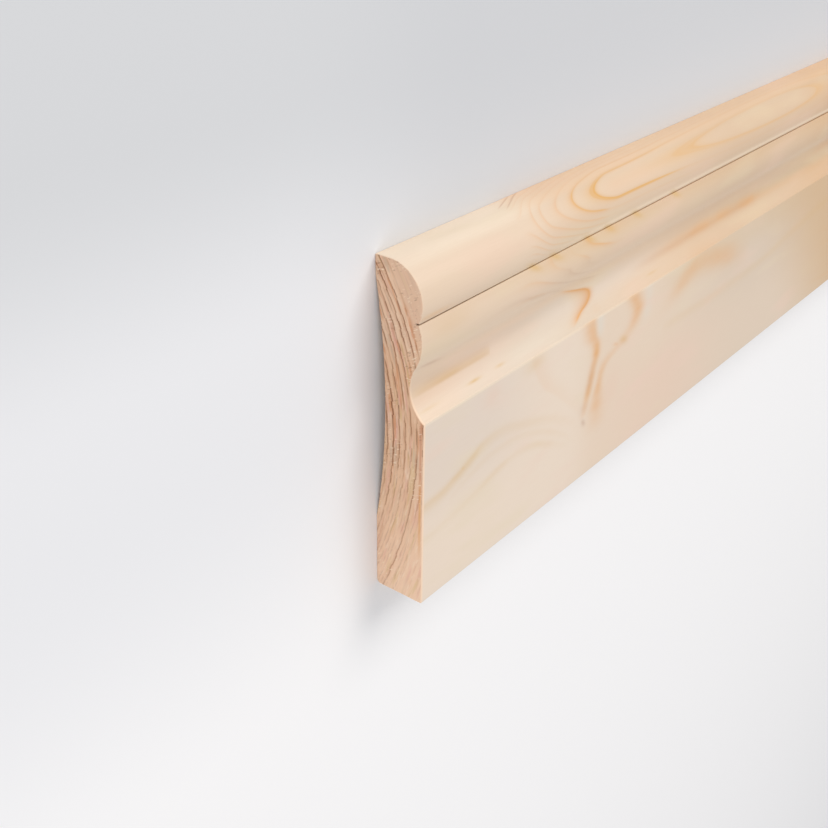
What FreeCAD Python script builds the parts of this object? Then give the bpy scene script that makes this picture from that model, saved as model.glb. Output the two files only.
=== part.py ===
import FreeCAD, Part
import math
import os
import Sketcher
from FreeCAD import Vector

# One length of ogee skirting board, moulded from a single piece of softwood.
# It lies on its back with the moulded face up.
# X runs along the length, +Y is towards the top edge, +Z is out of the face.
# The origin is under the middle of the board, in the plane of its back.

# Driving dimensions, in millimetres
SIZES = {
    "board_length": 2400.0,
    "board_height": 119.0,        # bottom edge to top edge
    "board_thickness": 19.0,      # back to the flat face
    "nose_radius": 12.5,          # round under the top edge
    "nose_setback": 1.2,          # foremost line of the nose behind the flat face
    "quirk_drop": 18.2,           # top edge down to the middle of the quirk
    "quirk_width": 0.5,
    "quirk_depth": 3.5,           # flat face in to the floor of the quirk
    "bead_radius": 16.0,          # convex half of the ogee
    "bead_setback": 1.2,          # foremost line of the bead behind the flat face
    "cove_radius": 13.2,          # concave half of the ogee
    "cove_depth": 5.6,            # flat face in to the deepest line of the cove
    "front_arris_radius": 0.4,    # eased edge between flat face and bottom edge
    "back_bottom_radius": 1.5,    # eased edge between bottom edge and back
    "back_top_radius": 0.4,       # eased edge between top edge and back
    "bottom_land_width": 27.5,    # flat strip of the back beside the bottom edge
    "top_land_width": 6.5,        # flat strip of the back beside the top edge
    "hollow_depth": 3.6,          # hollow along the back, at its middle
}

NODE = "skirting_board"
START, END, CENTRE = 1, 2, 3
HORIZONTAL_AXIS = -1
ORIGIN = (-1, 1)


def add_sheet(doc):
    """Keeps the driving dimensions in a spreadsheet, one named cell each."""
    sheet = doc.addObject("Spreadsheet::Sheet", "Sizes")
    for row, (name, value) in enumerate(SIZES.items(), start=1):
        sheet.set(f"A{row}", name)
        sheet.set(f"B{row}", str(value))
        sheet.setAlias(f"B{row}", name)
    doc.recompute()
    return sheet


def origin_plane(body, role):
    for feature in body.Origin.OriginFeatures:
        if feature.Role == role:
            return feature
    raise ValueError(f"no plane {role}")


def arc(centre, radius, first_angle, last_angle):
    """Arc that runs counter-clockwise from one angle to the other, in radians."""
    circle = Part.Circle(Vector(*centre, 0), Vector(0, 0, 1), radius)
    return Part.ArcOfCircle(circle, first_angle, last_angle)


def line(first, last):
    return Part.LineSegment(Vector(*first, 0), Vector(*last, 0))


def section_geometry(size):
    """The outline, counter-clockwise from the bottom back edge, as (name, geometry).

    The first coordinate is the height from the board's middle, and the second is
    the distance from the back.
    """
    bottom = -size.board_height / 2
    top = size.board_height / 2
    face = size.board_thickness

    # Back: a flat strip along each edge, with one shallow arc between them
    low_land = bottom + size.bottom_land_width
    high_land = top - size.top_land_width
    half_hollow = (high_land - low_land) / 2
    hollow_radius = (half_hollow**2 + size.hollow_depth**2) / (2 * size.hollow_depth)
    hollow_centre = (low_land + half_hollow, size.hollow_depth - hollow_radius)
    hollow_half_angle = math.asin(half_hollow / hollow_radius)

    # Nose: one arc from the top edge down to the quirk
    nose_centre = (top - size.nose_radius, face - size.nose_setback - size.nose_radius)
    upper_wall = top - size.quirk_drop + size.quirk_width / 2
    lower_wall = upper_wall - size.quirk_width
    quirk_floor = face - size.quirk_depth
    nose_angle = math.acos((upper_wall - nose_centre[0]) / size.nose_radius)
    mouth = nose_centre[1] + size.nose_radius * math.sin(nose_angle)

    # Ogee: a convex bead that runs smoothly into a concave cove
    bead_level = face - size.bead_setback - size.bead_radius
    bead_angle = math.asin((mouth - bead_level) / size.bead_radius)
    bead_centre = (lower_wall - size.bead_radius * math.cos(bead_angle), bead_level)
    cove_level = face - size.cove_depth + size.cove_radius
    centre_gap = size.bead_radius + size.cove_radius
    turn = math.asin((cove_level - bead_level) / centre_gap)
    cove_centre = (bead_centre[0] - centre_gap * math.cos(turn), cove_level)
    arris_angle = math.asin((cove_level - face) / size.cove_radius)
    arris = cove_centre[0] - size.cove_radius * math.cos(arris_angle)

    # Eased edges
    front_r = size.front_arris_radius
    low_r = size.back_bottom_radius
    high_r = size.back_top_radius

    return [
        ("back_bottom", arc((bottom + low_r, low_r), low_r, math.pi, 1.5 * math.pi)),
        ("bottom_land", line((bottom + low_r, 0), (low_land, 0))),
        ("hollow", arc(hollow_centre, hollow_radius, math.pi / 2 - hollow_half_angle,
                       math.pi / 2 + hollow_half_angle)),
        ("top_land", line((high_land, 0), (top - high_r, 0))),
        ("back_top", arc((top - high_r, high_r), high_r, -math.pi / 2, 0)),
        ("top_edge", line((top, high_r), (top, nose_centre[1]))),
        ("nose", arc(nose_centre, size.nose_radius, 0, nose_angle)),
        ("quirk_upper", line((upper_wall, mouth), (upper_wall, quirk_floor))),
        ("quirk_floor", line((upper_wall, quirk_floor), (lower_wall, quirk_floor))),
        ("quirk_lower", line((lower_wall, quirk_floor), (lower_wall, mouth))),
        ("bead", arc(bead_centre, size.bead_radius, bead_angle, math.pi - turn)),
        ("cove", arc(cove_centre, size.cove_radius, math.pi + arris_angle, 2 * math.pi - turn)),
        ("flat_face", line((arris, face), (bottom + front_r, face))),
        ("front_arris", arc((bottom + front_r, face - front_r), front_r, math.pi / 2, math.pi)),
        ("bottom_edge", line((bottom, face - front_r), (bottom, low_r))),
    ]


class SectionSketch:
    """Adds constraints to a sketch by the names of its edges."""

    def __init__(self, sketch, geometry):
        self.sketch = sketch
        self.index = {}
        for name, shape in geometry:
            self.index[name] = sketch.addGeometry(shape, False)

    def at(self, place):
        """Geometry index and point position of a place such as ("nose", END)."""
        name, position = place
        return self.index.get(name, name), position

    def join(self, kind, first, second):
        """Coincident or Tangent, between the end points of two edges."""
        self.sketch.addConstraint(Sketcher.Constraint(kind, *self.at(first), *self.at(second)))

    def direct(self, kind, *names):
        """Horizontal or Vertical edges."""
        for name in names:
            self.sketch.addConstraint(Sketcher.Constraint(kind, self.index[name]))

    def measure(self, kind, first, second, name, formula):
        """DistanceX or DistanceY from the first point to the second, bound to the sheet."""
        here, there = self.at(first), self.at(second)
        start = self.sketch.getPoint(*here)
        end = self.sketch.getPoint(*there)
        value = end.x - start.x if kind == "DistanceX" else end.y - start.y
        self.bind(Sketcher.Constraint(kind, *here, *there, value), name, formula)

    def radius(self, edge, formula):
        value = self.sketch.Geometry[self.index[edge]].Radius
        self.bind(Sketcher.Constraint("Radius", self.index[edge], value), f"{edge}_radius", formula)

    def bind(self, constraint, name, formula):
        number = self.sketch.addConstraint(constraint)
        self.sketch.renameConstraint(number, name)
        self.sketch.setExpression(f"Constraints.{name}", formula)


def constrain_joints(outline):
    """Closes the outline and says where it runs on smoothly."""
    for first, second in [
        (("back_bottom", END), ("bottom_land", START)),
        (("top_land", END), ("back_top", START)),
        (("back_top", END), ("top_edge", START)),
        (("top_edge", END), ("nose", START)),
        (("bead", END), ("cove", END)),
        (("flat_face", END), ("front_arris", START)),
        (("front_arris", END), ("bottom_edge", START)),
        (("bottom_edge", END), ("back_bottom", START)),
    ]:
        outline.join("Tangent", first, second)
    for first, second in [
        (("bottom_land", END), ("hollow", END)),
        (("hollow", START), ("top_land", START)),
        (("nose", END), ("quirk_upper", START)),
        (("quirk_upper", END), ("quirk_floor", START)),
        (("quirk_floor", END), ("quirk_lower", START)),
        (("quirk_lower", END), ("bead", START)),
        (("cove", START), ("flat_face", START)),
    ]:
        outline.join("Coincident", first, second)
    outline.direct("Horizontal", "bottom_land", "top_land", "quirk_floor", "flat_face")
    outline.direct("Vertical", "top_edge", "quirk_upper", "quirk_lower", "bottom_edge")


def constrain_sizes(outline):
    """Binds every size of the section to the sheet."""
    sketch = outline.sketch
    index = outline.index
    foot = ("bottom_edge", END)
    head = ("top_edge", START)
    face = ("flat_face", START)

    # Overall size and place
    sketch.addConstraint(Sketcher.Constraint("PointOnObject", index["top_land"], START,
                                             HORIZONTAL_AXIS))
    outline.measure("DistanceX", foot, ORIGIN, "below_middle", "Sizes.board_height / 2")
    outline.measure("DistanceX", ORIGIN, head, "above_middle", "Sizes.board_height / 2")
    outline.measure("DistanceY", ORIGIN, face, "thickness", "Sizes.board_thickness")

    # Nose and quirk
    outline.radius("nose", "Sizes.nose_radius")
    outline.measure("DistanceY", ("nose", CENTRE), face, "nose_from_face",
                    "Sizes.nose_radius + Sizes.nose_setback")
    outline.measure("DistanceX", ("quirk_floor", START), head, "quirk_from_top",
                    "Sizes.quirk_drop - Sizes.quirk_width / 2")
    outline.measure("DistanceX", ("quirk_floor", END), ("quirk_floor", START), "quirk_opening",
                    "Sizes.quirk_width")
    outline.measure("DistanceY", ("quirk_floor", START), face, "quirk_from_face",
                    "Sizes.quirk_depth")
    sketch.addConstraint(Sketcher.Constraint("Horizontal", index["quirk_upper"], START,
                                             index["quirk_lower"], END))

    # Ogee
    outline.radius("bead", "Sizes.bead_radius")
    outline.measure("DistanceY", ("bead", CENTRE), face, "bead_from_face",
                    "Sizes.bead_radius + Sizes.bead_setback")
    outline.radius("cove", "Sizes.cove_radius")
    outline.measure("DistanceY", face, ("cove", CENTRE), "cove_from_face",
                    "Sizes.cove_radius - Sizes.cove_depth")

    # Back and eased edges
    sketch.addConstraint(Sketcher.Constraint("PointOnObject", index["bottom_land"], END,
                                             HORIZONTAL_AXIS))
    outline.measure("DistanceX", foot, ("bottom_land", END), "bottom_strip",
                    "Sizes.bottom_land_width")
    outline.measure("DistanceX", ("top_land", START), head, "top_strip", "Sizes.top_land_width")
    outline.radius("hollow",
                   "((Sizes.board_height - Sizes.bottom_land_width - Sizes.top_land_width)^2 / 4"
                   " + Sizes.hollow_depth^2) / (2 * Sizes.hollow_depth)")
    outline.radius("front_arris", "Sizes.front_arris_radius")
    outline.radius("back_bottom", "Sizes.back_bottom_radius")
    outline.radius("back_top", "Sizes.back_top_radius")


def add_board(doc, sheet):
    """The moulded section, run out along the whole length."""
    body = doc.addObject("PartDesign::Body", "Board")
    body.Label = NODE

    sketch = body.newObject("Sketcher::SketchObject", "Section")
    sketch.AttachmentSupport = (origin_plane(body, "YZ_Plane"), [""])
    sketch.MapMode = "FlatFace"
    doc.recompute()
    outline = SectionSketch(sketch, section_geometry(sheet))
    constrain_joints(outline)
    constrain_sizes(outline)
    doc.recompute()

    pad = body.newObject("PartDesign::Pad", "Length")
    pad.Profile = sketch
    pad.SideType = "Symmetric"
    pad.setExpression("Length", "Sizes.board_length")
    body.Placement = FreeCAD.Placement()
    doc.recompute()
    return body, sketch


def check(doc, body, sketch):
    """Stops before anything is written if a feature failed."""
    for item in doc.Objects:
        if "Invalid" in item.State or "Error" in item.State:
            raise RuntimeError(f"{item.Label} failed: {item.State}")
    if not sketch.FullyConstrained:
        raise RuntimeError("the section isn't fully constrained")
    if body.Shape.isNull() or not body.Shape.isValid() or len(body.Shape.Solids) != 1:
        raise RuntimeError(f"{body.Label} is not one valid solid")


def main():
    doc = FreeCAD.newDocument("skirting")
    sheet = add_sheet(doc)
    body, sketch = add_board(doc, sheet)
    check(doc, body, sketch)
    os.makedirs("parts", exist_ok=True)
    body.Shape.exportStep(f"parts/{body.Label}.step")
    box = body.Shape.BoundBox
    print(f"{body.Label}: {box.XLength:.2f} x {box.YLength:.2f} x {box.ZLength:.2f} mm, "
          f"{body.Shape.Volume / 1e6:.4f} litres")


main()
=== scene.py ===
import math

import bpy
from mathutils import Matrix, Vector, noise
from mathutils.geometry import delaunay_2d_cdt


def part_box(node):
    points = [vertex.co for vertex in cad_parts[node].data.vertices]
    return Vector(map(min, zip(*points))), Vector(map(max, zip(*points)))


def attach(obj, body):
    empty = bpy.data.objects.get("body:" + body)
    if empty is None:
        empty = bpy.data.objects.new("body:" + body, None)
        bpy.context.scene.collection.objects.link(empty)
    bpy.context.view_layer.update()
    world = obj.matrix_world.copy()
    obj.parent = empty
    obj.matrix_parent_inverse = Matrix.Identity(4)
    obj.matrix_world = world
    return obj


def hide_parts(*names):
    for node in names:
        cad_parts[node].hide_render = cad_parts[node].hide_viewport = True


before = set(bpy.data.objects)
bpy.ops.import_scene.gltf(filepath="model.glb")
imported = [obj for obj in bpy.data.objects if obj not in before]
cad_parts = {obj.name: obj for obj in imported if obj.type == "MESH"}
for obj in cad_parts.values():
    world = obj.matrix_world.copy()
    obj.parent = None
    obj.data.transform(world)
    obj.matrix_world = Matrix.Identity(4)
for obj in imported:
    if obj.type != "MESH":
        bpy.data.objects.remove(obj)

# One length of ogee skirting board in planed softwood, lying on its back on a pale floor.
# X runs along the board, +Y is towards the moulded top edge and +Z is out of the face.

MM = 0.001
RIGHT_ANGLE = math.pi / 2
NODE = "skirting_board"
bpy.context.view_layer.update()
NODE_LOW, NODE_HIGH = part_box(NODE)
LENGTH = (NODE_HIGH[0] - NODE_LOW[0]) / MM
HEIGHT = (NODE_HIGH[1] - NODE_LOW[1]) / MM
THICKNESS = (NODE_HIGH[2] - NODE_LOW[2]) / MM

# Section, in millimetres
NOSE_RADIUS = 12.5
NOSE_SETBACK = 1.2
QUIRK_DROP = 18.2
QUIRK_WIDTH = 0.5
QUIRK_DEPTH = 3.5
BEAD_RADIUS = 16.0
BEAD_SETBACK = 1.2
COVE_RADIUS = 13.2
COVE_DEPTH = 5.6
FRONT_ARRIS_RADIUS = 0.4
BACK_BOTTOM_RADIUS = 1.5
BACK_TOP_RADIUS = 0.4
BOTTOM_LAND_WIDTH = 27.5
TOP_LAND_WIDTH = 6.5
HOLLOW_DEPTH = 3.6

# Heights above the bottom edge that the wood's figure goes by, in millimetres
CREST_HEIGHT = 68.2                  # between the flat face and the cove
QUIRK_HEIGHT = HEIGHT - QUIRK_DROP
NOSE_FOOT = 101.0                    # lowest part of the nose, just above the quirk

# Mesh, in millimetres
LENGTH_STEPS = 48
END_EASE = 0.4            # radius of the worn arris round each sawn end
END_EASE_STEPS = 3
END_CELL = 0.7            # spacing of the points on the sawn ends
END_RELIEF = 0.07         # depth of the saw marks and soft early wood
UNEVEN_WEAR = 0.9         # how much the worn arris differs from place to place
TORN_WEAR = 1.6           # how much more is gone where it is torn
TORN_LEVEL = 5.0          # it is torn no further from the back than this
SHARP_ANGLE = math.radians(28)       # edges that turn by more stay sharp

# Tree, in millimetres: the board was cut to one side of the pith
PITH_HEIGHT = 60.0        # level with this height on the board
PITH_DEPTH = 108.0        # behind the flat face
RING_REACH = 110.35       # one ring's distance from the pith
RING_WIDTH = 2.35
NARROW_FROM = 111.9       # the rings get narrower beyond this distance from the pith
EXTRA_RINGS = 0.115       # added for each millimetre beyond it
END_GRAIN_LENGTH = 400.0  # how far the end grain's blotches reach into the board

# Surface of the wood
PLANED_ROUGHNESS = 0.5
SAWN_EXTRA_ROUGHNESS = 0.3
ROUGHNESS_SPREAD = 0.12
PLANED_GRAIN = 0.25       # height of the planed grain, as a share of the sawn fuzz
BUMP_STRENGTH = 0.35
BUMP_DEPTH = 0.08 * MM

# Stage, in metres
FLOOR_HALF_SIZE = 12.0
FLOOR_ROUGHNESS = 0.7
LIGHT_TARGET = (-1.1, 0.0, 0.0)      # close to the board's near end
WORLD_COLOUR = (0.96, 0.97, 1.0, 1.0)
WORLD_STRENGTH = 0.55

# Camera: the photograph's place and angle, seen from the near end of the board
LENS = 49.554
SENSOR = 36.0
CAMERA_PLACE = (-1438.86, 179.67, 201.42)
CAMERA_RIGHT = (0.61966, 0.01098, 0.78479)
CAMERA_UP = (0.37522, 0.87410, -0.30849)


def srgb(red, green, blue):
    """Linear colour of an sRGB colour in 0 to 255."""
    def linear(value):
        value /= 255
        return value / 12.92 if value <= 0.04045 else ((value + 0.055) / 1.055) ** 2.4
    return (linear(red), linear(green), linear(blue), 1.0)


# Shape

def arc(centre, radius, first_angle, last_angle, steps):
    """Points of an arc as (height, distance from the back)."""
    points = []
    for step in range(steps + 1):
        angle = first_angle + (last_angle - first_angle) * step / steps
        points.append((centre[0] + radius * math.cos(angle), centre[1] + radius * math.sin(angle)))
    return points


def run(first, last, steps):
    """Points of a straight run, with both ends."""
    return [tuple(a + (b - a) * step / steps for a, b in zip(first, last)) for step in range(steps + 1)]


def back_pieces(bottom, top):
    """The back with its arrises: a flat strip, the hollow and the other strip."""
    low_land, high_land = bottom + BOTTOM_LAND_WIDTH, top - TOP_LAND_WIDTH
    half_hollow = (high_land - low_land) / 2
    radius = (half_hollow**2 + HOLLOW_DEPTH**2) / (2 * HOLLOW_DEPTH)
    centre = (low_land + half_hollow, HOLLOW_DEPTH - radius)
    angle = math.asin(half_hollow / radius)
    return [
        arc((bottom + BACK_BOTTOM_RADIUS, BACK_BOTTOM_RADIUS), BACK_BOTTOM_RADIUS,
            math.pi, 3 * RIGHT_ANGLE, 6),
        run((bottom + BACK_BOTTOM_RADIUS, 0), (low_land, 0), 8),
        arc(centre, radius, RIGHT_ANGLE + angle, RIGHT_ANGLE - angle, 40),
        run((high_land, 0), (top - BACK_TOP_RADIUS, 0), 3),
        arc((top - BACK_TOP_RADIUS, BACK_TOP_RADIUS), BACK_TOP_RADIUS, -RIGHT_ANGLE, 0, 4),
    ]


def nose_pieces(top, face):
    """The top edge, the nose and the quirk, and the point where the bead starts."""
    centre = (top - NOSE_RADIUS, face - NOSE_SETBACK - NOSE_RADIUS)
    upper_wall = top - QUIRK_DROP + QUIRK_WIDTH / 2
    lower_wall = upper_wall - QUIRK_WIDTH
    quirk_floor = face - QUIRK_DEPTH
    turn = math.acos((upper_wall - centre[0]) / NOSE_RADIUS)
    mouth = centre[1] + NOSE_RADIUS * math.sin(turn)
    pieces = [
        run((top, BACK_TOP_RADIUS), (top, centre[1]), 3),
        arc(centre, NOSE_RADIUS, 0, turn, 36),
        run((upper_wall, mouth), (upper_wall, quirk_floor), 2),
        run((upper_wall, quirk_floor), (lower_wall, quirk_floor), 2),
        run((lower_wall, quirk_floor), (lower_wall, mouth), 2),
    ]
    return pieces, (lower_wall, mouth)


def face_pieces(bottom, face, bead_start):
    """The bead, the cove, the flat face with its arris and the bottom edge."""
    bead_level = face - BEAD_SETBACK - BEAD_RADIUS
    bead_angle = math.asin((bead_start[1] - bead_level) / BEAD_RADIUS)
    bead_centre = (bead_start[0] - BEAD_RADIUS * math.cos(bead_angle), bead_level)
    cove_level = face - COVE_DEPTH + COVE_RADIUS
    centre_gap = BEAD_RADIUS + COVE_RADIUS
    turn = math.asin((cove_level - bead_level) / centre_gap)
    cove_centre = (bead_centre[0] - centre_gap * math.cos(turn), cove_level)
    crest_angle = math.asin((cove_level - face) / COVE_RADIUS)
    crest = cove_centre[0] - COVE_RADIUS * math.cos(crest_angle)
    return [
        arc(bead_centre, BEAD_RADIUS, bead_angle, math.pi - turn, 28),
        arc(cove_centre, COVE_RADIUS, 2 * math.pi - turn, math.pi + crest_angle, 28),
        run((crest, face), (bottom + FRONT_ARRIS_RADIUS, face), 30),
        arc((bottom + FRONT_ARRIS_RADIUS, face - FRONT_ARRIS_RADIUS), FRONT_ARRIS_RADIUS,
            RIGHT_ANGLE, math.pi, 5),
        run((bottom, face - FRONT_ARRIS_RADIUS), (bottom, BACK_BOTTOM_RADIUS), 6),
    ]


def section_outline():
    """Closed outline, counter-clockwise from the bottom back edge, in millimetres.

    The first coordinate is the height from the board's middle, and the second is the
    distance from the back.
    """
    bottom, top, face = -HEIGHT / 2, HEIGHT / 2, THICKNESS
    upper_pieces, bead_start = nose_pieces(top, face)
    pieces = back_pieces(bottom, top) + upper_pieces + face_pieces(bottom, face, bead_start)
    same_place = 1e-4
    outline = []
    for points in pieces:
        for point in points:
            if not outline or math.dist(point, outline[-1]) > same_place:
                outline.append(point)
    if math.dist(outline[0], outline[-1]) < same_place:
        outline.pop()
    return outline


def inward_normals(outline):
    """Unit directions into the wood at the outline's points."""
    normals = []
    for index in range(len(outline)):
        before, after = outline[index - 1], outline[(index + 1) % len(outline)]
        along = Vector((after[0] - before[0], after[1] - before[1])).normalized()
        normals.append(Vector((-along.y, along.x)))
    return normals


def arris_wear(height, level, side):
    """How worn the arris of a sawn end is: uneven all round, and torn in places at the back."""
    uneven = noise.noise(Vector((height * 0.9, level * 0.9, side * 7.0)))
    wear = 1 + UNEVEN_WEAR * uneven
    if level < TORN_LEVEL:
        wear += TORN_WEAR * max(0.0, noise.noise(Vector((height * 0.35, 4.0, side * 5.0))))
    return wear


def end_ring(outline, normals, side, share):
    """The outline where the end's worn arris has turned by a share of a right angle."""
    turn = share * RIGHT_ANGLE
    back = END_EASE * (1 - math.sin(turn))
    ring = []
    for (height, level), normal in zip(outline, normals):
        inset = END_EASE * arris_wear(height, level, side) * (1 - math.cos(turn))
        ring.append(Vector((side * (LENGTH / 2 - back), height + normal.x * inset,
                            level + normal.y * inset)))
    return ring


def relief(height, level, side):
    """Depth of the sawn end's surface below its plane."""
    reach = math.hypot(height + HEIGHT / 2 - PITH_HEIGHT, level + PITH_DEPTH - THICKNESS)
    soft = 0.5 + 0.5 * math.cos(2 * math.pi * reach / RING_WIDTH)
    saw = 0.5 + 0.5 * noise.noise(Vector((height * 1.6 + level * 0.5, level * 0.15, side * 3.0)))
    grit = 0.5 + 0.5 * noise.noise(Vector((height * 2.3, level * 2.3, side * 9.0)))
    return END_RELIEF * (0.35 * soft + 0.3 * saw + 0.35 * grit)


def end_cap(ring, side):
    """Points and triangles that close one sawn end, with the ring's own points first."""
    flat = [Vector((point.y, point.z)) for point in ring]
    edges = [(index, (index + 1) % len(flat)) for index in range(len(flat))]
    margin = END_CELL * 0.45
    inside = []
    for column in range(1, int(HEIGHT / END_CELL)):
        for row in range(1, int(THICKNESS / END_CELL)):
            height = -HEIGHT / 2 + column * END_CELL
            level = row * END_CELL + (column % 2) * END_CELL / 2
            if min((Vector((height, level)) - point).length for point in flat) > margin:
                inside.append(Vector((height, level)))
    made = delaunay_2d_cdt(flat + inside, edges, [list(range(len(flat)))], 1, 1e-5)
    points, faces = made[0], made[2]
    depth = [0.0] * len(flat) + [relief(p.x, p.y, side) for p in points[len(flat):]]
    places = [Vector((side * (LENGTH / 2 - d), p.x, p.y)) for p, d in zip(points, depth)]
    return places, faces


def board_rings(outline):
    """The outline at each step along the board, from one worn arris to the other."""
    normals = inward_normals(outline)
    shares = [step / END_EASE_STEPS for step in range(END_EASE_STEPS + 1)]
    inner_length = LENGTH - 2 * END_EASE
    rings = [end_ring(outline, normals, -1, share) for share in reversed(shares)]
    for step in range(1, LENGTH_STEPS):
        along = -inner_length / 2 + inner_length * step / LENGTH_STEPS
        rings.append([Vector((along, height, level)) for height, level in outline])
    return rings + [end_ring(outline, normals, 1, share) for share in shares]


def band_faces(ring_total, count):
    """Faces between each ring of points and the next one."""
    faces = []
    for ring in range(ring_total - 1):
        near, far = ring * count, (ring + 1) * count
        for index in range(count):
            after = (index + 1) % count
            faces.append((near + index, near + after, far + after, far + index))
    return faces


def board_mesh():
    """The whole board: long faces, worn arrises and sawn ends, in metres."""
    rings = board_rings(section_outline())
    count = len(rings[0])
    vertices = [point for ring in rings for point in ring]
    faces = band_faces(len(rings), count)
    for side, ring, first in ((-1, rings[0], 0), (1, rings[-1], (len(rings) - 1) * count)):
        places, triangles = end_cap(ring, side)
        start = len(vertices) - count
        vertices += places[count:]
        for triangle in triangles:
            corners = [first + c if c < count else start + c for c in triangle]
            faces.append(tuple(corners if side > 0 else reversed(corners)))

    mesh = bpy.data.meshes.new("moulded_board")
    mesh.from_pydata([point * MM for point in vertices], [], faces)
    mesh.validate()
    mesh.shade_smooth()
    mesh.set_sharp_from_angle(angle=SHARP_ANGLE)
    return mesh


# Numbers worked out by shader nodes

class Number:
    """A number at each point of the surface."""

    def __init__(self, tree, socket):
        self.tree = tree
        self.socket = socket

    def math(self, operation, *others):
        node = self.tree.nodes.new("ShaderNodeMath")
        node.operation = operation
        for slot, value in zip(node.inputs, (self, *others)):
            plug(self.tree, slot, value)
        return Number(self.tree, node.outputs[0])

    def __add__(self, other):
        return self.math("ADD", other)

    def __sub__(self, other):
        return self.math("SUBTRACT", other)

    def __mul__(self, other):
        return self.math("MULTIPLY", other)

    def __truediv__(self, other):
        return self.math("DIVIDE", other)

    def __rsub__(self, other):
        return self * -1 + other

    __radd__ = __add__
    __rmul__ = __mul__


def plug(tree, slot, value):
    """Give a node's input a Number or a plain value."""
    if isinstance(value, Number):
        tree.links.new(value.socket, slot)
    else:
        slot.default_value = value


def strongest(*numbers):
    """The highest of the numbers, the first of which is a Number."""
    highest = numbers[0]
    for number in numbers[1:]:
        highest = highest.math("MAXIMUM", number)
    return highest


def length(first, second):
    """The distance made up by two distances at right angles."""
    return (first * first + second * second).math("SQRT")


def smooth(value, start, end):
    """0 before start, 1 after end, and smooth between; start may be the higher one."""
    node = value.tree.nodes.new("ShaderNodeMapRange")
    node.interpolation_type = "SMOOTHSTEP"
    low, high = min(start, end), max(start, end)
    plug(value.tree, node.inputs["Value"], value)
    node.inputs["From Min"].default_value = low
    node.inputs["From Max"].default_value = high
    node.inputs["To Min"].default_value = 0.0 if start < end else 1.0
    node.inputs["To Max"].default_value = 1.0 if start < end else 0.0
    return Number(value.tree, node.outputs["Result"])


def span(value, start, full, fading, end):
    """1 from full to fading, 0 before start and after end, and smooth between."""
    return smooth(value, start, full) * smooth(value, end, fading)


def hill(value, centre, width):
    """1 at the centre, falling off on both sides."""
    away = (value - centre) / width
    return (away * away * -1).math("EXPONENT")


def stroke(away, before, after):
    """1 on a line, from the distance to it, fading over one width on each of its sides."""
    low = (away / before).math("MINIMUM", 0.0)
    high = (away / after).math("MAXIMUM", 0.0)
    return ((low * low + high * high) * -1).math("EXPONENT")


def curve(value, *points):
    """A smooth curve through (value, result) points, straight beyond the first and the last."""
    node = value.tree.nodes.new("ShaderNodeFloatCurve")
    first, last = points[0][0], points[-1][0]
    results = [result for _, result in points]
    low, high = min(results), max(results)
    places = node.mapping.curves[0].points
    places[0].location = (0.0, (results[0] - low) / (high - low))
    places[1].location = (1.0, (results[-1] - low) / (high - low))
    for place, result in points[1:-1]:
        places.new((place - first) / (last - first), (result - low) / (high - low))
    node.mapping.update()
    plug(value.tree, node.inputs["Value"], (value - first) / (last - first))
    return Number(value.tree, node.outputs["Value"]) * (high - low) + low


def noise_at(tree, x, y, z, detail=2.0):
    """Noise of about -0.5 to 0.5, from a place given in grains."""
    vector = tree.nodes.new("ShaderNodeCombineXYZ")
    for slot, value in zip(vector.inputs, (x, y, z)):
        plug(tree, slot, value)
    node = tree.nodes.new("ShaderNodeTexNoise")
    tree.links.new(vector.outputs[0], node.inputs["Vector"])
    node.inputs["Scale"].default_value = 1.0
    node.inputs["Detail"].default_value = detail
    return Number(tree, node.outputs[0]) - 0.5


def split_vector(tree, socket):
    """The three numbers of a vector."""
    node = tree.nodes.new("ShaderNodeSeparateXYZ")
    tree.links.new(socket, node.inputs[0])
    return [Number(tree, output) for output in node.outputs]


def object_place(tree):
    """Where a point of the surface is in its object's own frame, in metres."""
    coordinates = tree.nodes.new("ShaderNodeTexCoord")
    return split_vector(tree, coordinates.outputs["Object"])


# Colours worked out by shader nodes

def mix_colour(share, first, second):
    """Colour between two colours, each a tuple or a socket."""
    node = share.tree.nodes.new("ShaderNodeMix")
    node.data_type = "RGBA"
    node.clamp_factor = True
    plug(share.tree, node.inputs["Factor"], share)
    for slot, colour in ((node.inputs["A"], first), (node.inputs["B"], second)):
        if isinstance(colour, tuple):
            slot.default_value = colour
        else:
            share.tree.links.new(colour, slot)
    return node.outputs["Result"]


def coated(colour, *coats):
    """A colour under coats of other colours, each coat a pair of its share and its colour."""
    for share, tint in coats:
        colour = mix_colour(share, colour, tint)
    return colour


# Place in the board and in the tree

class Place:
    """Where a point of the surface is on the board, in millimetres, and on which of its parts.

    The plain numbers used with along, height and depth, here and for the figure and the colours,
    are places and widths in millimetres, most of them judged from the photograph.
    """

    def __init__(self, tree):
        x, y, z = object_place(tree)
        self.tree = tree
        self.along = x / MM + LENGTH / 2        # from the near end
        self.height = y / MM + HEIGHT / 2       # from the bottom edge
        self.depth = THICKNESS - z / MM         # behind the flat face
        self.front = smooth(self.depth, 9, 6)   # 1 on the face and moulding, 0 on the back
        self.flat = smooth(self.height, CREST_HEIGHT + 0.4, CREST_HEIGHT - 0.4)   # 1 below the crest
        self.nose = self.above_quirk()

    def above_quirk(self):
        """1 above the quirk: the change is hidden in the quirk, and slow towards the back."""
        spread = 0.4 + 1.2 * strongest(self.depth - 4, 0.0)
        return smooth((self.height - QUIRK_HEIGHT) / spread, -0.5, 0.5)

    def noise(self, along, across, detail=2.0, offset=0.0):
        """Noise whose grains have these sizes along and across the board."""
        return noise_at(self.tree, self.along / along + offset, self.height / across,
                        self.depth / across, detail)


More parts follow.
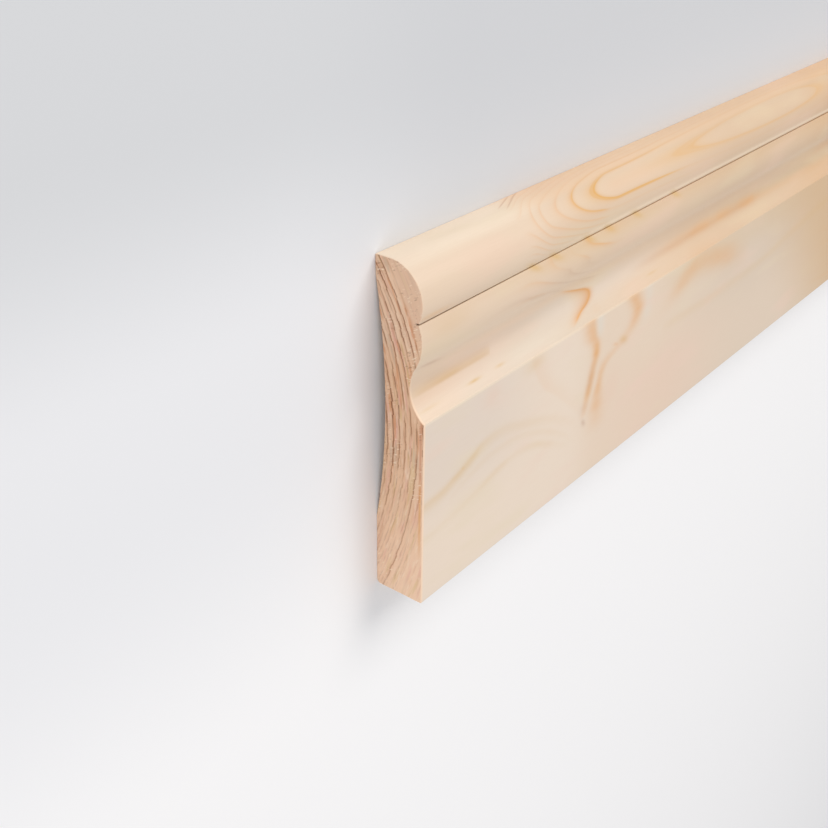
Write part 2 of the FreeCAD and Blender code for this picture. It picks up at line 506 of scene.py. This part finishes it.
class Rings:
    """Where a point of the surface is in the tree's growth rings."""

    def __init__(self, at):
        self.at = at
        self.reach = tree_reach(at)             # millimetres from the pith
        self.age = ring_age(self.reach)         # rings, counted along the board's section
        self.bold = smooth(self.reach, 127.6, 130.0) * at.nose   # 1 on the nose's outer rings
        angle = (at.height - PITH_HEIGHT).math("ARCTAN2", PITH_DEPTH - at.depth)
        self.turn = angle * PITH_DEPTH          # millimetres round the rings of a sawn end

    def noise(self, around, across, offset):
        """Noise whose grains follow the rings of the sawn ends."""
        return noise_at(self.at.tree, self.turn / around, self.reach / across,
                        self.at.along / END_GRAIN_LENGTH + offset)


def rise(at):
    """How far the rings rise along the board: it makes the arcs and the loop."""
    moulding = 6.2 * smooth(at.along, 56, 107) + 0.9 * smooth(at.along, 100, 116) \
        + 1.8 * smooth(at.along, 116, 250)
    tilt = 0.9 * hill(at.height, 82.5, 3.2) - 0.5 * hill(at.height, 70.5, 4.5)
    tilt = tilt * span(at.along, 62, 86, 112, 140)
    sag = curve(at.height, (87, 0.0), (91, 0.3), (94.6, 1.15), (96, 1.0), (98, 0.6), (101, 0.3))
    sag = sag * smooth(at.height, 86, 88.5) * smooth(at.along, 70, 90) * (1 - at.nose)
    on_face = smooth(at.height, 72, 62) * smooth(at.along, 250, 150)
    lean = 0.36 * smooth(at.along, 30, 58) * (at.height - NOSE_FOOT)
    nose = 2.8 * smooth(at.along, 57, 72) + lean
    return smooth(at.along, 600, 260) * ((moulding + tilt - sag) * (1 - on_face) + nose * at.nose)


def tree_reach(at):
    """Distance from the pith, bent to follow the growth."""
    below = strongest(1 - at.height / PITH_HEIGHT, 0.0)
    flare = below * below * below * 4.0
    wander = smooth(at.along, 250, 520) * 10.0 * at.noise(240, 90, detail=1.0)
    waver = at.noise(45, 14, detail=1.0, offset=3.0) * 0.3
    return length(at.height - PITH_HEIGHT, PITH_DEPTH - at.depth) - flare + rise(at) + wander + waver


def ring_age(reach):
    """Years along the board's section: the rings get narrower outwards."""
    return (reach - RING_REACH) / RING_WIDTH + strongest(reach - NARROW_FROM, 0.0) * EXTRA_RINGS


def ring_number(age):
    """A whole number for each ring, that changes in the middle of its early wood."""
    return (age + 0.5).math("FLOOR")


def ring_chance(age, seed):
    """A number of 0 to 1 that is the same all along a ring."""
    node = age.tree.nodes.new("ShaderNodeTexWhiteNoise")
    node.noise_dimensions = "1D"
    plug(age.tree, node.inputs["W"], ring_number(age) + seed)
    return Number(age.tree, node.outputs["Value"])


def late_wood(age, inner, outer):
    """1 on the late wood line of a ring, fading over these widths inwards and outwards."""
    phase = age.math("FRACT")
    return strongest(((phase - 1) / inner).math("EXPONENT"), (phase / -outer).math("EXPONENT"))


# Figure of the planed faces: the ring lines

def ring_lines(rings):
    """1 on the rings' late wood: thin lines, and wide ones where the rings are bold."""
    wide = 0.72 * rings.bold * smooth(rings.age.math("FRACT"), 0.74, 0.89)
    return strongest(late_wood(rings.age, 0.2, 0.07), wide)


def nose_lines(at, rings):
    """Strength of the ring lines on the nose, from a short way along: the outer ones are bold."""
    start = smooth(at.along, 54, 63) * smooth(at.height, NOSE_FOOT, 106)
    outer = 0.34 + 0.66 * smooth(rings.reach, 126.9, 130.4)
    onward = 1 - 0.6 * smooth(at.along, 130, 200)
    top = 1 - 0.5 * smooth(at.height, 116.5, 118.6)
    loop_middle = 1 - 0.8 * smooth(at.along, 101, 109) * smooth(at.height, 110.4, 109.4)
    return at.nose * start * outer * onward * top * loop_middle


def bead_lines(at):
    """Strength of the ring lines on the bead, in a faint group and a clear one."""
    faint = 0.3 * smooth(at.height, 84, 92) * hill(at.along, 66, 12)
    clear = 0.62 * smooth(at.height, 92, 95.5) * hill(at.along, 103, 12)
    return smooth(at.height, 102, 100) * strongest(faint, clear)


def cove_lines(at, rings):
    """Strength of the ring lines that hook round in the cove."""
    high = smooth(at.height + 0.12 * (at.along - 95), 83.4, 81.2)
    low = smooth(at.height, 68.5, 71)
    outer = smooth(rings.reach, 108.4, 109.2)
    return high * low * outer * smooth(at.along, 80, 95) * (1 - 0.95 * smooth(at.along, 104.5, 111))


def plain_lines(at, rings):
    """Strength of the ring lines outside the photograph: far along, and on the back."""
    hidden = (1 - at.front) * smooth(at.height, 117.2, 116.2)
    outside = strongest(smooth(at.along, 290, 420), hidden)
    return outside * (0.15 + 0.4 * ring_chance(rings.age, 5.0))


# Figure of the planed faces: lines, streaks and spots of their own

def line_along(at, below, above, path, strength):
    """A soft line along the board, by (along, height) and (along, strength) points."""
    away = at.height - curve(at.along, *path)
    return stroke(away, below, above) * curve(at.along, *strength)


def line_up(at, before, after, path, strength):
    """A soft line up the board, by (height, along) and (height, strength) points."""
    away = at.along - curve(at.height, *path)
    return stroke(away, before, after) * curve(at.height, *strength)


def spot(at, along, height, half_length, half_height, fall=0.0):
    """A soft spot at a place; fall is how much it drops for each millimetre along."""
    level = at.height + fall * (at.along - along) if fall else at.height
    return hill(at.along, along, half_length) * hill(level, height, half_height)


def flame_lines(at):
    """The two soft orange lines that flare up from the pin knot on the flat face."""
    left_width = curve(at.height, (30, 2.2), (44, 2.7), (54, 3.0), (61, 5.4), (69, 6.4))
    left = line_up(
        at, left_width, 2.7,
        path=((24, 99.0), (33, 100.6), (40, 102.4), (48, 104.3), (54, 105.4), (61, 102.6),
              (66, 101.0), (69, 100.3)),
        strength=((27, 0.0), (34, 0.42), (41, 0.62), (48, 0.54), (54, 0.66), (61, 0.58), (69, 0.6)))
    right_width = curve(at.height, (20, 6.0), (28, 5.0), (35, 3.6), (41, 2.6), (46, 4.0), (51, 7.0),
                        (57, 4.6), (64, 4.8), (69, 5.0))
    right = line_up(
        at, right_width, right_width,
        path=((20, 110.5), (29, 109.2), (40, 109.8), (45, 111.6), (48, 116.5), (52, 128.0),
              (57, 134.6), (61, 135.8), (64, 134.4), (69, 130.0)),
        strength=((16, 0.0), (25, 0.25), (32, 0.46), (41, 0.46), (46, 0.34), (51, 0.22), (56, 0.4),
                  (60, 0.56), (64, 0.6), (69, 0.42)))
    return strongest(left, right, 0.4 * spot(at, 120.8, 51.0, 2.6, 1.0, fall=0.3))


def leaning_line(at):
    """The faint warm line that leans away from the pin knot towards the near end."""
    return line_up(
        at, 1.6, 6.0,
        path=((31, 97.0), (36, 91.5), (42, 84.5), (48, 77.0), (51, 72.5), (54, 69.5), (60, 65.0),
              (67, 61.5)),
        strength=((30, 0.0), (36, 0.05), (45, 0.07), (52, 0.1), (60, 0.1), (67, 0.06)))


def broad_streaks(at):
    """The broad soft orange streaks in the cove and on the flat face."""
    face = line_along(
        at, 5.4, 5.0,
        path=((140, 46.0), (152, 51.5), (165, 56.5), (178, 61.5), (188, 64.0), (200, 62.6),
              (215, 59.4), (240, 54.0)),
        strength=((145, 0.0), (158, 0.05), (168, 0.2), (180, 0.38), (192, 0.34), (203, 0.42),
                  (214, 0.4), (228, 0.2), (242, 0.0)))
    cove = line_along(
        at, 1.7, 2.8,
        path=((120, 74.0), (160, 75.0), (200, 75.6), (250, 75.1)),
        strength=((135, 0.0), (165, 0.2), (184, 0.32), (200, 0.48), (208, 0.34), (217, 0.5),
                  (230, 0.36), (243, 0.56), (252, 0.32), (262, 0.24), (345, 0.12)))
    return strongest(face, cove)


def arch_lines(at):
    """The dull yellow lines that arch along the flat face, and the spots beside them."""
    highest = line_along(
        at, 2.6, 1.8,
        path=((0, 37.8), (10, 38.8), (18, 41.2), (26, 44.0), (36, 47.2), (46, 46.8), (56, 44.2),
              (66, 41.4), (76, 37.9), (86, 33.0), (98, 25.0)),
        strength=((0, 0.3), (12, 0.34), (23, 0.4), (34, 0.22), (55, 0.15), (72, 0.11), (98, 0.0)))
    middle = line_along(
        at, 1.8, 1.4,
        path=((14, 34.0), (26, 38.2), (40, 40.6), (54, 39.8), (66, 36.6), (78, 31.2), (90, 24.0)),
        strength=((14, 0.0), (30, 0.09), (54, 0.1), (76, 0.09), (90, 0.0)))
    lowest = line_along(
        at, 1.8, 1.4,
        path=((0, 25.0), (15, 26.8), (30, 29.5), (42, 32.2), (54, 33.4), (64, 32.0), (72, 29.0),
              (80, 25.5), (92, 18.0)),
        strength=((0, 0.08), (28, 0.09), (43, 0.22), (52, 0.1), (68, 0.18), (80, 0.08), (92, 0.0)))
    far = line_along(
        at, 2.6, 2.0,
        path=((160, 44.5), (205, 43.0), (250, 43.5), (290, 48.0), (340, 54.0)),
        strength=((160, 0.0), (185, 0.14), (270, 0.15), (330, 0.16), (345, 0.16)))
    spots = (0.55 * spot(at, 21.6, 42.6, 1.8, 1.2),
             0.5 * spot(at, 126.6, 51.0, 3.2, 1.69, fall=0.28),
             0.26 * spot(at, 62, 65, 6.0, 2.67))
    return strongest(highest, middle, lowest, far, *spots)


def near_streak(at):
    """The tan streak in the cove at the near end, crisp on its lower side."""
    strength = curve(at.along, (2, 0.14), (12, 0.4), (21, 0.46), (27, 0.38), (35, 0.38), (42, 0.0))
    return stroke(at.height - 75.8, 0.7, 2.2) * strength


def cove_dashes(at):
    """Short yellow dashes along the pale strip low in the cove."""
    dashes = hill(at.along, 30, 3.2) + 0.6 * hill(at.along, 44.5, 2.6) \
        + 0.35 * hill(at.along, 6, 5) + 0.5 * hill(at.along, 150, 4)
    return 0.7 * dashes * stroke(at.height - 70.7, 0.4, 0.45)


def quirk_spots(at):
    """Yellow-brown spots where bold rings run into the quirk."""
    leaning = at.along + 1.5 * (at.height - NOSE_FOOT)
    spots = [hill(leaning, along, 2.6) for along in (60.0, 73.0, 95.0, 109.0, 129.0, 160.0)]
    return strongest(*spots) * hill(at.height, 100.3, 2.1)


def top_streaks(at):
    """The short dark fibre streaks that run out over the top edge."""
    streaks = []
    for first, last, depth, pull in ((56, 68, 14.1, 0.375), (58, 70, 12.1, 0.46), (65, 74, 15.8, 0.36)):
        away = at.depth - depth - pull * (at.along - first)
        reach = span(at.along, first - 2, first + 4, last - 3, last + 3)
        streaks.append(stroke(away, 0.35, 0.25) * reach)
    return strongest(*streaks) * smooth(at.height, 117.6, 118.4)


def knot_marks(at):
    """The pin knot, and the brown in the line above it and at its foot."""
    knot = 0.34 * spot(at, 100.2, 25.4, 1.7, 1.5, fall=0.6)
    leaning = at.along - 0.2 * (at.height - 44)
    line = 0.18 * hill(leaning, 102.8, 2.2) * hill(at.height, 43, 6.0)
    foot = 0.11 * spot(at, 99, 32, 3.0, 2.6)
    return strongest(knot, line, foot)


def grey_streaks(at):
    """Soft grey-brown streaks in the cove and on the bead."""
    near_cove = 0.14 * stroke(at.height - 77.4, 1.0, 2.0) * span(at.along, 2, 12, 36, 44)
    far_cove = 0.16 * hill(at.height, 75.2, 1.6) * span(at.along, 130, 158, 236, 262)
    near_bead = 0.28 * spot(at, 8, 85.0, 6, 0.8, fall=0.14)
    path = curve(at.along, (40, 91.4), (52, 91.2), (64, 88.6), (78, 86.6), (100, 82.6))
    bead = 0.14 * stroke(at.height - path, 0.8, 1.0) * hill(at.along, 62, 20)
    return strongest(near_cove, far_cove, near_bead, bead)


# Colour of the planed faces

def orange_share(at, rings, lines, patchy):
    """How orange the figure is: the ring lines, and the flame, streaks and line of their own."""
    face = at.front * at.flat
    strength = strongest(nose_lines(at, rings), bead_lines(at), cove_lines(at, rings),
                         plain_lines(at, rings))
    unlined = face * smooth(at.along, 420, 290)
    return strongest(
        lines * strength * (1 - unlined),
        face * flame_lines(at) * patchy,
        at.front * broad_streaks(at) * patchy,
        0.25 * top_streaks(at),
        face * leaning_line(at))


def yellow_share(at, patchy):
    """How yellow the figure is: the arches, the quirk's spots, and the cove's dashes and streak."""
    return strongest(
        at.front * at.flat * arch_lines(at) * patchy,
        0.7 * quirk_spots(at),
        at.front * cove_dashes(at),
        at.front * near_streak(at) * patchy)


def brown_share(at, lines):
    """How brown the figure is: marks, streaks, and ring lines on the bead and in the cove."""
    bead = at.front * lines * hill(at.along, 84, 16) * span(at.height, 82, 87, 92, 96)
    cove = lines * hill(at.along, 101, 9) * span(at.height, 70, 73, 82, 86)
    return strongest(
        at.front * knot_marks(at),
        at.front * grey_streaks(at),
        0.3 * top_streaks(at),
        0.35 * at.front * near_streak(at),
        0.2 * bead,
        0.24 * cove)


def moulding_ground(at):
    """The moulding's ground colour, which gets darker away from the near end."""
    grey = hill(at.height, 76.5, 3.0) * span(at.along, 195, 245, 300, 420)
    tone = smooth(at.noise(150, 34, offset=11.0), -0.2, 0.2) * smooth(at.along, 300, 600)
    return coated(
        srgb(230, 206, 181),
        (smooth(at.along, 62, 96), srgb(228, 202, 174)),
        (smooth(at.along, 130, 220), srgb(221, 193, 163)),
        (smooth(at.along, 270, 330), srgb(219, 185, 149)),
        (0.3 * grey, srgb(188, 180, 152)),
        (0.6 * tone, srgb(234, 210, 182)))


def moulding_bands(at):
    """Coats for the moulding's broad bands of pale and warm wood, a painted highlight on the crown and
    low in the cove, painted bluish shade in the cove, and painted shade high in the cove.
    """
    # Painted highlight on the crown of the nose, strongest near the end
    crown_highlight = 0.05 * smooth(at.height, 111, 113) + 0.95 * smooth(at.height, 115.6, 118.6)
    # Painted highlight on the lower cove, which faces up to the light, near the end
    lower_cove_highlight = smooth(at.height, 74.5, 70) * smooth(at.along, 105, 60)
    pale = smooth(at.height, 83, 79) * span(at.along, 0, 40, 92, 160)
    # Painted bluish shade in the middle of the cove
    cool = hill(at.height, 76.0, 4.5) * span(at.along, 60, 84, 140, 185)
    warm = strongest(stroke(at.height - 99, 3.5, 2.0) * smooth(at.along, 20, 90),
                     spot(at, 14, 97, 11, 3.5))
    # Painted shade high in the cove, where it faces down
    dim = hill(at.height, 79.2, 2.8) * (1 - 0.5 * smooth(at.along, 50, 84))
    return (
        (crown_highlight * smooth(at.along, 84, 50), srgb(244, 225, 202)),
        (0.3 * lower_cove_highlight, srgb(243, 229, 209)),
        (0.26 * pale, srgb(212, 217, 212)),
        (0.4 * cool, srgb(232, 218, 206)),
        (0.25 * warm, srgb(216, 182, 134)),
        (0.3 * dim, srgb(192, 166, 142)))


def moulding_turns(at):
    """Coats for the moulding's blotches of hue and its darker and warmer places, with painted
    highlights on the nose's lip and at the bead's foot, and painted shade just under the quirk.
    """
    hue = at.noise(60, 16, offset=31.0)
    # Painted highlight on the nose's lip just above the quirk
    lip = stroke(at.height - 102.2, 0.6, 1.2) * smooth(at.along, 60, 116)
    # Painted shade on the bead just under the quirk and the nose
    under_quirk_shade = stroke(at.height - 100.2, 1.8, 0.4) * (0.6 + 0.4 * smooth(at.along, 60, 84))
    # Painted highlight at the bead's foot
    bead_foot_highlight = hill(at.height, 86.4, 2.4)
    nose_front = hill(at.height, 109, 3.6) * smooth(at.along, 56, 76)
    top_edge = smooth(at.height, 117.0, 118.6) * smooth(at.along, 54, 74)
    return (
        (0.3 * smooth(hue, 0.02, 0.2), srgb(238, 204, 182)),
        (0.3 * smooth(hue, -0.02, -0.2), srgb(230, 212, 178)),
        (0.4 * bead_foot_highlight, srgb(246, 226, 204)),
        (0.8 * lip, srgb(252, 230, 200)),
        (0.16 * under_quirk_shade, srgb(190, 150, 112)),
        (0.13 * nose_front, srgb(196, 160, 132)),
        (0.25 * top_edge, srgb(255, 208, 160)),
        (0.3 * spot(at, 6, 102.4, 8, 1.0), srgb(232, 176, 106)))


def face_ground(at):
    """The flat face's ground colour, which gets darker away from the near end."""
    fading = smooth(at.along, 135, 250) * (0.6 + 0.4 * smooth(at.height, 20, 45))
    grey = smooth(at.along, 80, 28) * smooth(at.height, 20, 48)
    return coated(
        srgb(237, 219, 200),
        (smooth(at.along, 86, 114), srgb(233, 212, 190)),
        (fading, srgb(222, 203, 182)),
        (0.85 * grey, srgb(227, 211, 196)))


def face_tones(at):
    """Coats for the flat face's pale, pink, warm and tan places, and a painted highlight along its
    crest.
    """
    pale = strongest(hill(at.along, 106, 3.4) * smooth(at.height, 56, 63),
                     0.6 * hill(at.along, 144, 3.6) * smooth(at.height, 50, 58))
    blush = strongest(0.3 * spot(at, 37, 63, 5, 4),
                      0.34 * hill(at.along, 165, 42) * smooth(at.height, 48, 22),
                      0.3 * spot(at, 120, 32, 8, 9))
    warm = smooth(at.height, 52, 67) * smooth(at.along, 145, 180)
    hue = at.noise(52, 16, offset=21.0)
    # Painted highlight along the crest beside the cove, fading away from the near end
    crest = smooth(at.height, 66.9, 67.9) * smooth(at.along, 190, 110)
    slanted = at.along + 0.9 * (at.height - 45)
    uneven = smooth(at.noise(260, 50, offset=41.0), -0.12, 0.25) * smooth(at.along, 420, 1100)
    tan = strongest(smooth(slanted, 250, 345) * smooth(at.along, 1300, 420), 0.7 * uneven)
    return (
        (0.6 * pale, srgb(226, 219, 207)),
        (blush, srgb(235, 199, 178)),
        (0.34 * warm, srgb(220, 192, 150)),
        (0.4 * smooth(hue, 0.03, 0.25), srgb(238, 208, 190)),
        (0.4 * smooth(hue, -0.03, -0.25), srgb(231, 215, 187)),
        (0.4 * crest, srgb(253, 235, 207)),
        (tan, srgb(216, 184, 146)))


def rim_wear_and_highlight(at):
    """How pale the worn arris of a sawn end is, as paler worn wood and a painted highlight: most along
    the flat face.
    """
    return 0.2 + 0.8 * smooth(at.height, 84, 70) * smooth(at.depth, 7, 4)


def planed_colour(at, rings):
    """The planed faces: ground colour, figure, fine fibres and the pale strip beside an end, of worn
    wood and painted highlight.
    """
    moulding = coated(moulding_ground(at), *moulding_bands(at), *moulding_turns(at))
    face = coated(face_ground(at), *face_tones(at))
    lines = ring_lines(rings)
    patchy = 1 + 0.9 * at.noise(16, 5, offset=7.0)
    late = mix_colour(rings.bold, srgb(229, 168, 100), srgb(224, 170, 92))
    fibre = smooth(at.noise(9, 0.22, detail=3.0, offset=4.0), -0.25, 0.25)
    from_end = at.along.math("MINIMUM", LENGTH - at.along)
    # Pale strip beside each end: partly worn wood, partly painted highlight
    strip = smooth(from_end, 1.2, 0.5) * rim_wear_and_highlight(at)
    return coated(
        mix_colour(at.flat, moulding, face),
        (yellow_share(at, patchy), srgb(218, 180, 116)),
        (orange_share(at, rings, lines, patchy), late),
        (brown_share(at, lines), srgb(178, 134, 106)),
        (0.06 * fibre, srgb(196, 160, 122)),
        (0.7 * strip, srgb(250, 218, 188)))


def quirk_shade(at):
    """How much painted shade darkens the wood down in the quirk, most near the end."""
    across = hill(at.height, QUIRK_HEIGHT, QUIRK_WIDTH)
    return across * smooth(at.depth, 2.5, 2.9) * (0.06 + 0.5 * smooth(at.along, 105, 5))


# Colour of the sawn ends

def sawn_strength(at, rings):
    """How strong the ring lines are: weak near the bottom edge and in the nose."""
    upper = smooth(at.height, 24, 60)
    inner = smooth(rings.reach, 110.8, 109.2)
    strong_rings = (0.34 - 0.1 * upper) * hill(rings.reach, 105.7, 1.1) \
        + 0.26 * hill(rings.reach, 96.3, 1.2)
    places = 0.35 * hill(at.height, 66, 9) * smooth(at.depth, 6, 9) \
        + 0.14 * smooth(at.height, 84, 94) - 0.18 * hill(at.height, 52, 8) * smooth(at.depth, 9, 6)
    return (0.2 + 0.58 * upper + strong_rings + places) * (0.06 + 0.94 * inner)


def sawn_lines(at, rings):
    """Strengths of the thin and broad ring lines on the sawn ends, broken and stepped."""
    held = strongest(0.55 * smooth(at.height, 84, 94),
                     0.7 * hill(at.height, 64, 7) * smooth(at.depth, 7, 9))
    whole = strongest(smooth(rings.noise(9, 2.6, 4.0), -0.14, 0.03), held)
    step = ring_chance(rings.turn / 2.6 + ring_number(rings.age) * 17.3, 2.0) - 0.5
    ragged = rings.age + 0.16 * step + 0.1 * rings.noise(5, 2.0, 9.0)
    between = late_wood(ragged * 2 + 0.9, 0.22, 0.1) * smooth(rings.reach, 110.4, 109.4) \
        * smooth(rings.noise(7, 1.4, 6.0), -0.02, 0.1)
    strength = sawn_strength(at, rings)
    thin = late_wood(ragged, 0.11, 0.05) * strength * (0.1 + 0.9 * whole)
    broad = late_wood(ragged, 0.34, 0.12) * strength * (0.35 + 0.65 * whole)
    return strongest(thin, 0.24 * between), broad


def sawn_blotches(rings, upper):
    """Coats for pink, yellow, orange, grey, brown and pale blotches that follow the rings."""
    blotches = (
        (20.0, 2.6, 11.0, 0.45 + 0.3 * upper, srgb(234, 174, 154)),
        (24.0, 2.2, 15.0, 0.45 + 0.3 * upper, srgb(222, 190, 130)),
        (16.0, 1.5, 19.0, 0.15 + 0.5 * upper, srgb(222, 150, 100)),
        (16.0, 2.4, 27.0, 0.15 + 0.5 * upper, srgb(208, 184, 158)),
        (9.0, 1.0, 31.0, 0.2 + 0.2 * upper, srgb(190, 138, 104)),
        (5.0, 1.0, 23.0, 0.45, srgb(255, 228, 202)),
    )
    return [(share * smooth(rings.noise(around, across, offset), 0.05, 0.2), tint)
            for around, across, offset, share, tint in blotches]


def sawn_ground(at, rings, upper):
    """The end grain under its lines: mottled, plain in the nose, and lighter towards the bottom edge
    with painted light.
    """
    pale = strongest(0.42 * smooth(at.height, 86, 94) * smooth(rings.reach, 110.6, 109.4),
                     0.36 * hill(at.height, 64, 6) * smooth(at.depth, 7, 9))
    middle = hill(at.height, 50, 10) * smooth(at.depth, 9, 6)
    plain = smooth(rings.reach, 109.6, 111.4) * smooth(at.height, 90, 101)
    return coated(
        srgb(250, 212, 180),
        # Darker upwards: painted light from the floor lightens the bottom of the end
        (smooth(at.height, 0, 60), srgb(238, 197, 161)),
        (pale, srgb(255, 226, 198)),
        *sawn_blotches(rings, upper),
        (0.25 * middle, srgb(255, 226, 200)),
        (0.75 * plain, srgb(236, 198, 168)))


def sawn_edge(at):
    """Coats for the golden and the dull line along the flat face's side of a sawn end."""
    line = stroke(at.depth - 1.1, 0.45, 0.55)
    return (
        (0.6 * line * span(at.height, 14, 30, 44, 50), srgb(232, 166, 96)),
        (0.6 * line * span(at.height, 44, 50, 67, 70), srgb(208, 138, 102)))


def sawn_fuzz(at, upper):
    """Coats for the dark torn pores and the pale saw fuzz."""
    slanted = at.height + 0.45 * at.depth
    fuzz = noise_at(at.tree, slanted / 0.7, at.depth / 2.4, at.along / END_GRAIN_LENGTH + 6)
    here = at.noise(60, 16, detail=1.0, offset=5.0) + 0.1 * hill(at.height, 64, 22)
    where = smooth(here, -0.03, 0.07)
    return (
        (0.4 * smooth(fuzz, -0.11, -0.18) * where * upper, srgb(132, 82, 58)),
        (0.7 * smooth(fuzz, 0.11, 0.18) * where, srgb(255, 231, 204)))


def sawn_colour(at, rings):
    """End grain: thin dark lines, broken and uneven, on mottled wood with pale saw fuzz."""
    upper = smooth(at.height, 34, 62)
    thin, broad = sawn_lines(at, rings)
    return coated(
        sawn_ground(at, rings, upper),
        (0.4 * broad, srgb(214, 146, 100)),
        (1.1 * thin, srgb(128, 66, 14)),
        *sawn_edge(at),
        *sawn_fuzz(at, upper))


# Material of the board

def end_turn(tree):
    """How far the surface turns to the board's ends: 0 on the long faces and 1 on the ends."""
    normal = tree.nodes.new("ShaderNodeNewGeometry").outputs["True Normal"]
    return split_vector(tree, normal)[0].math("ABSOLUTE")


def wood_bump(at, sawn):
    """Fine grain along the planed faces, and saw fuzz on the ends."""
    planed_grain = at.noise(7, 0.16, detail=3.0, offset=1.0) * (1 - sawn) * PLANED_GRAIN
    sawn_grain = at.noise(0.5, 0.3, detail=3.0, offset=5.0) * sawn
    bump = at.tree.nodes.new("ShaderNodeBump")
    bump.inputs["Strength"].default_value = BUMP_STRENGTH
    bump.inputs["Distance"].default_value = BUMP_DEPTH
    plug(at.tree, bump.inputs["Height"], planed_grain + sawn_grain)
    return bump.outputs["Normal"]


def wood_material():
    """Planed softwood on the long faces and sawn end grain, from one field of rings."""
    material = bpy.data.materials.new("pine")
    material.use_nodes = True
    tree = material.node_tree
    at = Place(tree)
    rings = Rings(at)
    turned = end_turn(tree)
    sawn = smooth(turned, 0.6, 0.8)
    worn = span(turned, 0.15, 0.25, 0.86, 0.94)

    colour = coated(
        planed_colour(at, rings),
        # Painted shade down in the quirk
        (quirk_shade(at) * (1 - sawn), srgb(116, 76, 46)),
        (sawn, sawn_colour(at, rings)),
        # The worn arris: partly paler worn wood, partly painted highlight
        (0.6 * worn * rim_wear_and_highlight(at), srgb(252, 218, 188)))
    spread = ROUGHNESS_SPREAD * at.noise(12, 0.4, offset=9.0)
    roughness = PLANED_ROUGHNESS + SAWN_EXTRA_ROUGHNESS * sawn + spread

    shader = tree.nodes["Principled BSDF"]
    tree.links.new(colour, shader.inputs["Base Color"])
    plug(tree, shader.inputs["Roughness"], roughness)
    tree.links.new(wood_bump(at, sawn), shader.inputs["Normal"])
    return material


# Stage

def floor_colour(x, y):
    """Painted light and shade: a little darker beyond the moulded edge, and lightest beside the bottom
    edge.

    The changes of tone fade out away from the board's near end.
    """
    # Painted shade on the floor just beyond the moulded edge, along the board's near part
    painted_shade_beyond_edge = smooth(x, -1.24, -1.15) * smooth(y, 0.05, 0.07)
    # Painted light and shade on the floor: darker beyond the moulded edge, lightest beyond the bottom
    # edge
    tones = coated(
        srgb(214, 215, 217),
        (smooth(y, 0.112, 0.045), srgb(235, 235, 237)),
        (0.7 * painted_shade_beyond_edge, srgb(206, 207, 210)),
        (smooth(y, 0.02, -0.09), srgb(249, 248, 248)))
    near = smooth(length(x + 0.9, y + 0.2), 2.4, 1.1)
    return mix_colour(near, srgb(221, 222, 224), tones)


def floor_material():
    """The pale floor, with no figure, and with painted light and shade near the board."""
    material = bpy.data.materials.new("pale_floor")
    material.use_nodes = True
    tree = material.node_tree
    x, y, _ = object_place(tree)
    shader = tree.nodes["Principled BSDF"]
    tree.links.new(floor_colour(x, y), shader.inputs["Base Color"])
    shader.inputs["Roughness"].default_value = FLOOR_ROUGHNESS
    return material


def add_floor():
    """A floor in the plane of the board's back, far larger than the picture."""
    size = FLOOR_HALF_SIZE
    mesh = bpy.data.meshes.new("floor")
    corners = [(-size, -size, 0), (size, -size, 0), (size, size, 0), (-size, size, 0)]
    mesh.from_pydata(corners, [], [(0, 1, 2, 3)])
    mesh.materials.append(floor_material())
    floor = bpy.data.objects.new("floor", mesh)
    bpy.context.collection.objects.link(floor)


def add_area_light(name, place, size, watts, colour):
    """A square light that shines on the near end of the board."""
    lamp = bpy.data.lights.new(name, "AREA")
    lamp.shape = "SQUARE"
    lamp.size = size
    lamp.energy = watts
    lamp.color = colour
    light = bpy.data.objects.new(name, lamp)
    light.location = place
    towards = Vector(LIGHT_TARGET) - Vector(place)
    light.rotation_euler = towards.to_track_quat("-Z", "Y").to_euler()
    bpy.context.collection.objects.link(light)


def add_lights():
    """A warm light over the moulded edge's side, a cool one beyond the near end, and the world."""
    add_area_light("overhead_key", place=(-0.2, 2.1, 1.8), size=1.7, watts=48.0,
                   colour=(1.0, 0.97, 0.92))
    add_area_light("front_fill", place=(-3.0, -1.1, 2.1), size=2.0, watts=23.0,
                   colour=(0.97, 0.98, 1.0))
    world = bpy.data.worlds.new("studio")
    world.use_nodes = True
    background = world.node_tree.nodes["Background"]
    background.inputs["Color"].default_value = WORLD_COLOUR
    background.inputs["Strength"].default_value = WORLD_STRENGTH
    bpy.context.scene.world = world


def add_camera():
    """The photograph's camera, from its place and its directions to the right and up."""
    lens = bpy.data.cameras.new("camera")
    lens.lens = LENS
    lens.sensor_width = SENSOR
    lens.clip_start = 0.01
    lens.clip_end = 100.0
    camera = bpy.data.objects.new("camera", lens)
    right, up = Vector(CAMERA_RIGHT).normalized(), Vector(CAMERA_UP).normalized()
    turn = Matrix((right, up, right.cross(up))).transposed()
    camera.matrix_world = Matrix.Translation(Vector(CAMERA_PLACE) * MM) @ turn.to_4x4()
    bpy.context.collection.objects.link(camera)
    bpy.context.scene.camera = camera


def add_board():
    """The board, which stands for the CAD node and rides on the root."""
    mesh = board_mesh()
    mesh.materials.append(wood_material())
    board = bpy.data.objects.new("moulded_board", mesh)
    bpy.context.collection.objects.link(board)
    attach(board, "root")
    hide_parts(NODE)


bpy.context.scene.view_settings.view_transform = "Standard"
add_camera()
add_floor()
add_lights()
add_board()
